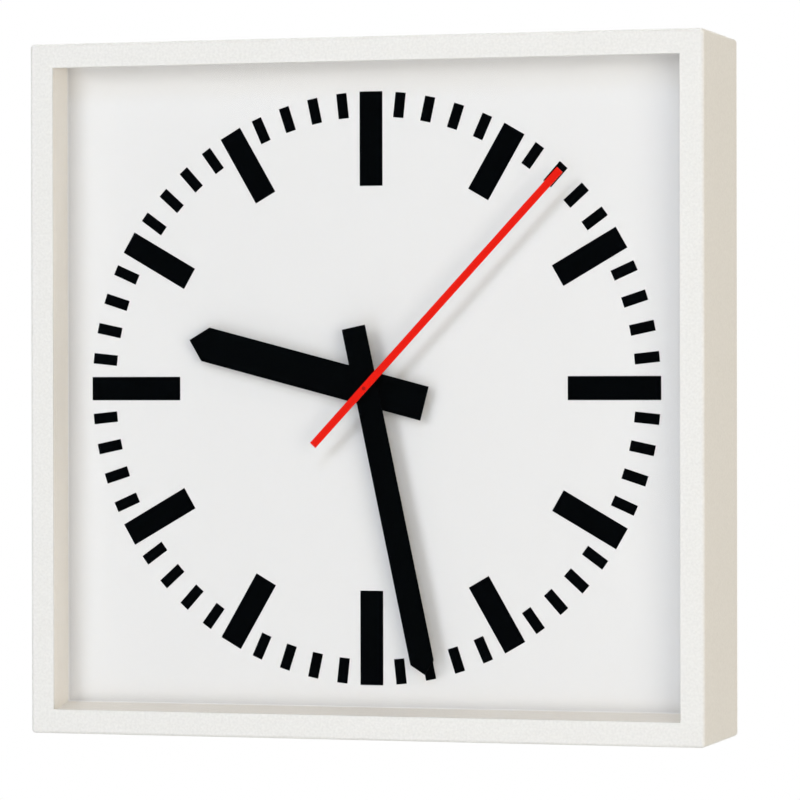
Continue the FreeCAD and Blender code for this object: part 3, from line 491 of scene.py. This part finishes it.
def clear_pane(name):
    """Clear glass. Rays from lamps and from pale surfaces pass straight through it."""
    material, tree, shader = new_finish(name)
    shader.inputs["Base Color"].default_value = GLASS_TINT
    shader.inputs["Roughness"].default_value = 0.0
    shader.inputs["IOR"].default_value = GLASS_INDEX
    shader.inputs["Transmission Weight"].default_value = 1.0
    path = tree.nodes.new("ShaderNodeLightPath")
    straight = tree.nodes.new("ShaderNodeMath")
    straight.operation = "MAXIMUM"
    tree.links.new(path.outputs["Is Shadow Ray"], straight.inputs[0])
    tree.links.new(path.outputs["Is Diffuse Ray"], straight.inputs[1])
    through = tree.nodes.new("ShaderNodeBsdfTransparent")
    through.inputs["Color"].default_value = THROUGH_TINT
    mix = tree.nodes.new("ShaderNodeMixShader")
    tree.links.new(straight.outputs["Value"], mix.inputs["Fac"])
    tree.links.new(shader.outputs["BSDF"], mix.inputs[1])
    tree.links.new(through.outputs["BSDF"], mix.inputs[2])
    tree.links.new(mix.outputs["Shader"], tree.nodes["Material Output"].inputs["Surface"])
    return material


def dial_coat(name):
    """Smooth white of the dial."""
    return coat(name, dark=(0.891, 0.890, 0.892), light=(0.906, 0.905, 0.906),
                grain=1.5 * MM, depth=0.004 * MM, roughness=(0.5, 0.6), specular=0.2)


# One finish for each slot
FINISHES = {
    "case_paint": coat("case_paint", dark=(0.785, 0.785, 0.758), light=(0.855, 0.855, 0.825),
                       grain=1.1 * MM, depth=0.05 * MM, roughness=(0.5, 0.62)),
    # The reveal's paint is lighter and warmer than the case paint: the off-white paint with painted warm
    # light added, standing in for the warm fill on the recessed walls
    "reveal_paint": coat("reveal_paint", dark=(0.91, 0.872, 0.815), light=(0.97, 0.932, 0.875),
                         grain=1.1 * MM, depth=0.05 * MM, roughness=(0.55, 0.65)),
    "dial_white": dial_coat("dial_white"),
    "mark_black": coat("mark_black", dark=DEEP_BLACK, light=SOFT_BLACK,
                       grain=0.6 * MM, depth=0.003 * MM, roughness=(0.6, 0.75), specular=0.02),
    "hand_black": coat("hand_black", dark=DEEP_BLACK, light=SOFT_BLACK,
                       grain=0.8 * MM, depth=0.006 * MM, roughness=(0.55, 0.7), specular=0.03),
    "hand_red": lacquered_front("hand_red", STEEL, DEEP_RED, SOFT_RED, SECOND_LACQUER),
    "clear_glass": clear_pane("clear_glass"),
    "zinc_steel": zinc_sheet("zinc_steel", dark=(0.47, 0.49, 0.51), light=(0.60, 0.62, 0.635),
                             spangle=6.0 * MM, depth=0.01 * MM, roughness=(0.34, 0.46)),
    "soft_iron": bare_metal("soft_iron", dark=(0.30, 0.30, 0.31), light=(0.40, 0.40, 0.41),
                            grain=1.0 * MM, stretch=ALONG_X, depth=0.004 * MM, roughness=(0.4, 0.55)),
    "ferrite": coat("ferrite", dark=(0.030, 0.030, 0.033), light=(0.050, 0.050, 0.052),
                    grain=0.4 * MM, depth=0.01 * MM, roughness=(0.6, 0.75)),
    "brass": bare_metal("brass", dark=(0.76, 0.55, 0.24), light=(0.84, 0.63, 0.30),
                        grain=0.8 * MM, stretch=ALONG_X, depth=0.003 * MM, roughness=(0.25, 0.4)),
    "copper_wire": bare_metal("copper_wire", dark=(0.58, 0.19, 0.07), light=(0.70, 0.25, 0.10),
                              grain=0.5 * MM, stretch=EVEN, depth=0.002 * MM, roughness=(0.2, 0.32)),
    "bobbin_plastic": coat("bobbin_plastic", dark=(0.70, 0.69, 0.63), light=(0.76, 0.75, 0.69),
                           grain=0.7 * MM, depth=0.005 * MM, roughness=(0.45, 0.6)),
    "terminal_plastic": coat("terminal_plastic", dark=(0.055, 0.057, 0.06), light=(0.075, 0.077, 0.08),
                             grain=0.5 * MM, depth=0.01 * MM, roughness=(0.5, 0.65)),
    "black_rubber": coat("black_rubber", dark=(0.016, 0.016, 0.016), light=(0.028, 0.028, 0.028),
                         grain=0.5 * MM, depth=0.02 * MM, roughness=(0.7, 0.85), specular=0.3),
}

# Nodes that have a finish of their own: the dial, with painted shade along its margin, and the ends that
# show in the middle of the hands
OWN_FINISH = {
    "dial_plate": painted_shade_margin(dial_coat("dial_white_painted_shade"), DIAL_HALF, REVEAL_LIFT,
                               PAINTED_SHADE_WIDTH, PAINTED_SHADE_STEEPNESS, PAINTED_SHADE_TONE),
    "second_arbor": lacquered_front("arbor_steel", STEEL, ARBOR_DEEP_RED, ARBOR_SOFT_RED, ARBOR_LACQUER),
    "minute_pipe": lacquered_front("minute_pipe_brass", BRASS, DEEP_BLACK, SOFT_BLACK, MINUTE_LACQUER),
    "hour_wheel": lacquered_front("hour_wheel_brass", BRASS, DEEP_BLACK, SOFT_BLACK, HOUR_LACQUER),
}

# Darker steel of the screws in the rear cover
COVER_SCREW_STEEL = bare_metal("cover_screw_steel", dark=(0.27, 0.275, 0.28), light=(0.35, 0.355, 0.36),
                               grain=0.5 * MM, stretch=EVEN, depth=0.003 * MM, roughness=(0.3, 0.42))


def finish_nodes():
    """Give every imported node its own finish, or that of its slot."""
    for node, piece in NODES.items():
        piece.data.materials.clear()
        piece.data.materials.append(OWN_FINISH.get(node) or FINISHES[SLOT_OF[node]])


# Case, reveal and cover

def case_shell():
    """The folded case: one sheet with rounded folds and a lip, open towards the wall."""
    low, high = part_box("case_frame")
    piece = box_piece("case_shell", low, high)
    pick_faces(piece, lambda middle, normal: normal.y > FACING_SHARE)
    bpy.ops.mesh.delete(type="FACE")
    pick_faces(piece, lambda middle, normal: normal.y < -FACING_SHARE)
    bpy.ops.mesh.inset(thickness=LIP_WIDTH)
    bpy.ops.mesh.delete(type="FACE")
    side = high.x

    def on_outside(point):
        return max(abs(point.x), abs(point.z)) > side - NEAR

    def is_fold(start, end):
        along_front = start.y < low.y + NEAR and end.y < low.y + NEAR
        along_depth = abs(start.y - end.y) > NEAR
        return on_outside(start) and on_outside(end) and (along_front or along_depth)

    pick_edges(piece, is_fold)
    round_picked(FOLD_RADIUS, FOLD_STEPS)
    bpy.ops.object.mode_set(mode="OBJECT")
    apply_modifier(piece, "SOLIDIFY", thickness=CASE_SHEET, offset=-1, use_even_offset=True)
    opening = side - LIP_WIDTH

    def is_cut_edge(start, end):
        level = abs(start.y - end.y) < NEAR
        across_sheet = abs((start - end).length - CASE_SHEET) < CUT_EDGE_RADIUS
        on_lip = all(abs(max(abs(p.x), abs(p.z)) - opening) < NEAR for p in (start, end))
        at_wall = start.y > high.y - NEAR
        return level and not across_sheet and (on_lip or at_wall)

    pick_edges(piece, is_cut_edge)
    round_picked(CUT_EDGE_RADIUS, CUT_EDGE_STEPS)
    finish_shape(piece)
    dress(piece, "case", "case_paint", "case_frame")


def ring_piece(name, low, high, width):
    """A square ring with flat limbs of one width, between two corners."""
    piece = box_piece(name, low, high)
    pick_faces(piece, lambda middle, normal: abs(normal.y) > FACING_SHARE)
    bpy.ops.mesh.inset(thickness=width, use_individual=True)
    bpy.ops.mesh.delete(type="FACE")
    edit("EDGE")
    bpy.ops.mesh.select_non_manifold()
    bpy.ops.mesh.bridge_edge_loops()
    bpy.ops.object.mode_set(mode="OBJECT")
    return piece


def reveal_liner():
    """The reveal: a ring whose walls open a little from the dial towards the glass."""
    low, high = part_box("spacer_frame")
    mouth_half = DIAL_HALF + REVEAL_STEP + REVEAL_SPLAY
    piece = ring_piece("reveal_liner", low, high, high.x - mouth_half)

    def inside(point):
        return max(abs(point.x), abs(point.z)) < mouth_half + NEAR

    def at_foot(start, end):
        return all(inside(p) and p.y > high.y - NEAR for p in (start, end))

    def along_foot(start, end):
        return at_foot(start, end) and max(start.z, end.z) < 0

    def along_top(start, end):
        return all(inside(p) and p.z > 0 for p in (start, end))

    share = DIAL_HALF / mouth_half
    pick_edges(piece, at_foot)
    bpy.ops.transform.resize(value=(share, 1, share), center_override=(0, high.y, 0))
    pick_edges(piece, along_foot)
    bpy.ops.transform.translate(value=(0, 0, REVEAL_LIFT))
    pick_edges(piece, along_top)
    bpy.ops.transform.translate(value=(0, 0, REVEAL_LIFT))
    finish_shape(piece)
    dress(piece, "case", "reveal_paint", "spacer_frame")


def reveal_bead():
    """Narrow bright bead where the foot of the reveal meets the dial."""
    dial_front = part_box("dial_plate")[0].y
    front = dial_front - BEAD_HEIGHT
    outer = DIAL_HALF + BEAD_TUCK
    low = Vector((-outer, front, REVEAL_LIFT - outer))
    high = Vector((outer, dial_front, REVEAL_LIFT + outer))
    piece = ring_piece("reveal_bead", low, high, BEAD_WIDTH + BEAD_TUCK)
    inner = DIAL_HALF - BEAD_WIDTH

    def is_front_edge(start, end):
        on_inside = all(max(abs(p.x), abs(p.z - REVEAL_LIFT)) < inner + NEAR for p in (start, end))
        return on_inside and start.y < front + NEAR and end.y < front + NEAR

    pick_edges(piece, is_front_edge)
    round_picked(BEAD_RADIUS, BEAD_STEPS)
    finish_shape(piece)
    dress(piece, "case", "dial_white")


def rear_sheet():
    """The rear cover with the edges of the sheet, its keyholes and its inlet broken."""
    dress(softened("rear_cover", "rear_sheet", COVER_EDGE), "case", "zinc_steel", "rear_cover")


def inlet_edging():
    """Rubber edging of the cable inlet, rounded as an extruded strip is."""
    dress(softened("inlet_trim", "inlet_edging", TRIM_EDGE), "case", "black_rubber", "inlet_trim")


# Screws

def screw_blank(name, place, sections):
    """A screw turned about the depth axis, head towards the wall, from sections of level and radius."""
    deselect()
    level, radius = sections[0]
    bpy.ops.mesh.primitive_circle_add(vertices=SCREW_SIDES, radius=radius, fill_type="NGON",
                                      location=(place.x, level, place.z), rotation=FACING_WALL)
    piece = name_piece(name)
    bpy.ops.object.mode_set(mode="EDIT")
    bpy.ops.mesh.select_all(action="SELECT")
    for next_level, next_radius in sections[1:]:
        move = {"value": (0, next_level - level, 0)}
        bpy.ops.mesh.extrude_region_move(TRANSFORM_OT_translate=move)
        share = next_radius / radius
        bpy.ops.transform.resize(value=(share, 1, share), center_override=(place.x, next_level, place.z))
        level, radius = next_level, next_radius
    finish_shape(piece)
    return piece


def cut_slot(piece, place, length, width, depth, turn):
    """Cut one slot across a screw head, narrower at its bottom."""
    half = Vector((length / 2, depth, width / 2))
    cutter = box_piece("slot_cutter", place - half, place + half)
    pick_faces(cutter, lambda middle, normal: normal.y < -FACING_SHARE)
    bpy.ops.transform.resize(value=(RECESS_TAPER, 1, RECESS_TAPER), center_override=place)
    bpy.ops.mesh.select_all(action="SELECT")
    bpy.ops.transform.rotate(value=turn, orient_axis="Y", center_override=place)
    bpy.ops.object.mode_set(mode="OBJECT")
    cut_away(piece, cutter)


def copies_joined(piece, name, moves):
    """Copies of a piece, each with its own mesh, moved and joined with it as one group."""
    copies = []
    for move in moves:
        deselect()
        piece.select_set(True)
        bpy.context.view_layer.objects.active = piece
        bpy.ops.object.duplicate_move(TRANSFORM_OT_translate={"value": move})
        copies.append(bpy.context.active_object)
    deselect()
    for member in (piece, *copies):
        member.select_set(True)
    bpy.context.view_layer.objects.active = piece
    bpy.ops.object.join()
    return name_piece(name)


def cover_screws():
    """Two countersunk screws with cross recesses, flush with the cover."""
    low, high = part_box("cover_screws")
    head, shank, end = high.x, COVER_SCREW_RADIUS, low.y
    place = Vector((0, high.y, high.z - head))
    rim = high.y - SCREW_RIM
    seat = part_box("rear_cover")[0].y
    sections = [(high.y, head - SCREW_RIM), (rim, head), (seat, shank), (end + SCREW_POINT, shank),
                (end, shank - SCREW_POINT)]
    screw = screw_blank("cover_screw", place, sections)
    for turn in (0, QUARTER_TURN):
        cut_slot(screw, place, RECESS_LENGTH, RECESS_WIDTH, RECESS_DEPTH, turn)
    group = copies_joined(screw, "cover_screw_pair", [(0, 0, -2 * place.z)])
    shade_rounds(group)
    dress(group, "case", "zinc_steel", "cover_screws", finish=COVER_SCREW_STEEL)


def terminal_screws():
    """Slotted cheese-head screws, one in each bay of the terminal strip."""
    low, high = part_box("terminal_screws")
    radius = (high.z - low.z) / 2
    pitch = (high.x - low.x - 2 * radius) / (TERMINALS - 1)
    place = Vector((low.x + radius, high.y, (low.z + high.z) / 2))
    sections = [(high.y, radius - HEAD_ROUND), (high.y - HEAD_ROUND, radius), (low.y, radius)]
    screw = screw_blank("terminal_screw", place, sections)
    cut_slot(screw, place, CUTTER_TO_RADIUS * radius, SLOT_WIDTH, SLOT_DEPTH, SLOT_TURN)
    moves = [(pitch * index, 0, 0) for index in range(1, TERMINALS)]
    group = copies_joined(screw, "terminal_screw_row", moves)
    shade_rounds(group)
    dress(group, "case", SLOT_OF["terminal_screws"], "terminal_screws")


# Windings and hands

def winding(drive):
    """The outer layer of a coil: one enamelled wire laid turn beside turn round the bobbin."""
    node = f"{drive}_coil_winding"
    low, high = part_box(node)
    middle = (low + high) / 2
    half = (high.z - low.z) / 2 - WIRE_RADIUS
    first, last = low.x + WIRE_RADIUS, high.x - WIRE_RADIUS
    turns = int((last - first) / (2 * WIRE_RADIUS))
    corners = [(1, -1), (1, 1), (-1, 1), (-1, -1)]
    rounding = half - WIRE_CORNER
    ring = []
    for across, up in corners:
        ends = [(across * half, up * rounding), (across * rounding, up * half)]
        ring += ends if across * up > 0 else ends[::-1]
    count = turns * len(ring)
    curve = bpy.data.curves.new(f"{drive}_wire", "CURVE")
    curve.dimensions = "3D"
    curve.bevel_depth = WIRE_RADIUS
    curve.bevel_resolution = WIRE_ROUNDNESS
    curve.use_fill_caps = True
    spline = curve.splines.new("NURBS")
    spline.points.add(count - 1)
    for index, point in enumerate(spline.points):
        across, up = ring[index % len(ring)]
        along = first + (last - first) * index / (count - 1)
        point.co = (along, middle.y + across, middle.z + up, 1)
    spline.order_u = WIRE_ORDER
    spline.use_endpoint_u = True
    spline.resolution_u = WIRE_STEPS
    wire = bpy.data.objects.new(f"{drive}_wire", curve)
    bpy.context.collection.objects.link(wire)
    deselect()
    wire.select_set(True)
    bpy.context.view_layer.objects.active = wire
    bpy.ops.object.convert(target="MESH")
    piece = name_piece(f"{drive}_wire")
    weld_points()
    finish_shape(piece)
    dress(piece, "case", "copper_wire", node)


def hands():
    """The three hands, with the edges of their blades broken as on stamped aluminium."""
    for body, slot in (("hour", "hand_black"), ("minute", "hand_black"), ("second", "hand_red")):
        dress(softened(f"{body}_hand", f"{body}_blade", HAND_EDGE), body, slot, f"{body}_hand")


finish_nodes()
case_shell()
reveal_liner()
reveal_bead()
rear_sheet()
inlet_edging()
cover_screws()
terminal_screws()
for drive in ("minute", "second"):
    winding(drive)
hands()


# Studio

def soft_box(name, place, width, power, colour):
    """A square soft lamp that is turned to the clock and isn't seen itself."""
    bpy.ops.object.light_add(type="AREA", location=place)
    lamp = bpy.context.active_object
    lamp.name = name
    lamp.data.shape = "SQUARE"
    lamp.data.size = width
    lamp.data.energy = power
    lamp.data.color = colour
    lamp.rotation_euler = (CLOCK_MIDDLE - Vector(place)).to_track_quat("-Z", "Y").to_euler()
    lamp.visible_camera = False
    lamp.visible_glossy = False
    lamp.visible_transmission = False


def any_ray(tree, *kinds):
    """One for rays of any of the given kinds, and zero for others."""
    path = tree.nodes.new("ShaderNodeLightPath")
    share = path.outputs[kinds[0]]
    for kind in kinds[1:]:
        either = tree.nodes.new("ShaderNodeMath")
        either.operation = "MAXIMUM"
        tree.links.new(share, either.inputs[0])
        tree.links.new(path.outputs[kind], either.inputs[1])
        share = either.outputs["Value"]
    return share


def studio_world():
    """Even pale light from all round.

    What is seen of it is white, and gloss sees a dim studio in front of the clock.
    """
    world = bpy.data.worlds.new("studio")
    bpy.context.scene.world = world
    world.use_nodes = True
    tree = world.node_tree
    ambient = tree.nodes["Background"]
    ambient.inputs["Color"].default_value = AMBIENT_COLOUR
    ambient.inputs["Strength"].default_value = AMBIENT_STRENGTH
    direction = tree.nodes.new("ShaderNodeTexCoord")
    split = tree.nodes.new("ShaderNodeSeparateXYZ")
    dim = tree.nodes.new("ShaderNodeMapRange")
    dim.inputs["From Min"].default_value = DIM_UNTIL
    dim.inputs["From Max"].default_value = WHITE_FROM
    dim.inputs["To Min"].default_value = DIM_FRONT
    dim.inputs["To Max"].default_value = 1.0
    in_sight = tree.nodes.new("ShaderNodeMath")
    in_sight.operation = "MAXIMUM"
    white = tree.nodes.new("ShaderNodeBackground")
    white.inputs["Color"].default_value = WHITE
    mix = tree.nodes.new("ShaderNodeMixShader")
    tree.links.new(direction.outputs["Generated"], split.inputs["Vector"])
    tree.links.new(split.outputs["Y"], dim.inputs["Value"])
    tree.links.new(dim.outputs["Result"], in_sight.inputs[0])
    tree.links.new(any_ray(tree, *IN_SIGHT), in_sight.inputs[1])
    tree.links.new(in_sight.outputs["Value"], white.inputs["Strength"])
    tree.links.new(any_ray(tree, *IN_SIGHT, *MIRRORED), mix.inputs["Fac"])
    tree.links.new(ambient.outputs["Background"], mix.inputs[1])
    tree.links.new(white.outputs["Background"], mix.inputs[2])
    tree.links.new(mix.outputs["Shader"], tree.nodes["World Output"].inputs["Surface"])


def studio_floor():
    """Pale floor well below the hanging clock.

    It is lifted to white in sight, and it is dim in gloss where it lies in front of the clock.
    """
    bpy.ops.mesh.primitive_plane_add(size=FLOOR_SIZE, location=(0, 0, cad_box[0].z - FLOOR_DROP))
    floor = bpy.context.active_object
    floor.name = "floor"
    material, tree, shader = new_finish("floor_white")
    shader.inputs["Roughness"].default_value = FLOOR_ROUGHNESS
    shader.inputs["Specular IOR Level"].default_value = 0.0
    place = tree.nodes.new("ShaderNodeTexCoord")
    split = tree.nodes.new("ShaderNodeSeparateXYZ")
    front = tree.nodes.new("ShaderNodeMath")
    front.operation = "LESS_THAN"
    front.inputs[1].default_value = 0.0
    mirrored = tree.nodes.new("ShaderNodeMath")
    mirrored.operation = "MULTIPLY"
    lift = tree.nodes.new("ShaderNodeMath")
    lift.operation = "MULTIPLY"
    lift.inputs[1].default_value = FLOOR_LIFT
    tree.links.new(place.outputs["Object"], split.inputs["Vector"])
    tree.links.new(split.outputs["Y"], front.inputs[0])
    tree.links.new(front.outputs["Value"], mirrored.inputs[0])
    tree.links.new(any_ray(tree, *MIRRORED), mirrored.inputs[1])
    tree.links.new(any_ray(tree, *IN_SIGHT, *MIRRORED), lift.inputs[0])
    dim = mirrored.outputs["Value"]
    tree.links.new(blend(tree, dim, FLOOR_PALE, FLOOR_DIM), shader.inputs["Base Color"])
    tree.links.new(blend(tree, dim, FLOOR_PALE, FLOOR_DIM), shader.inputs["Emission Color"])
    tree.links.new(lift.outputs["Value"], shader.inputs["Emission Strength"])
    floor.data.materials.append(material)


def studio_camera():
    """Camera at the place from which the photograph was taken."""
    bpy.ops.object.camera_add(location=CAMERA_PLACE, rotation=CAMERA_TURN)
    camera = bpy.context.active_object
    camera.data.sensor_width = SENSOR_WIDTH
    camera.data.lens = CAMERA_LENS
    bpy.context.scene.camera = camera


studio_world()
studio_floor()
soft_box("key", place=(-1.694, -3.472, 1.035), width=1.44, power=41, colour=(0.96, 0.975, 1.0))
soft_box("low_key", place=(-1.2, -3.4, -1.6), width=1.4, power=15, colour=(0.78, 0.86, 1.0))
soft_box("front_fill", place=(0.0, -3.0, -0.3), width=4.2, power=14, colour=(0.62, 0.76, 1.0))
soft_box("high_fill", place=(0.0, -2.4, 1.8), width=0.5, power=10, colour=(0.62, 0.76, 1.0))
soft_box("right_fill", place=(1.607, -1.915, 0.0), width=1.4, power=21, colour=(1.0, 0.95, 0.87))
soft_box("side_fill", place=(2.453, 0.432, 0.218), width=1.4, power=10.0, colour=(1.0, 0.85, 0.62))
soft_box("rear_fill", place=(-0.9, 2.0, 1.0), width=1.6, power=22, colour=(0.92, 0.96, 1.0))
soft_box("top_fill", place=(0.0, 0.7, 2.4), width=1.4, power=24, colour=(0.94, 0.97, 1.0))
studio_camera()
bpy.context.scene.view_settings.view_transform = "Standard"
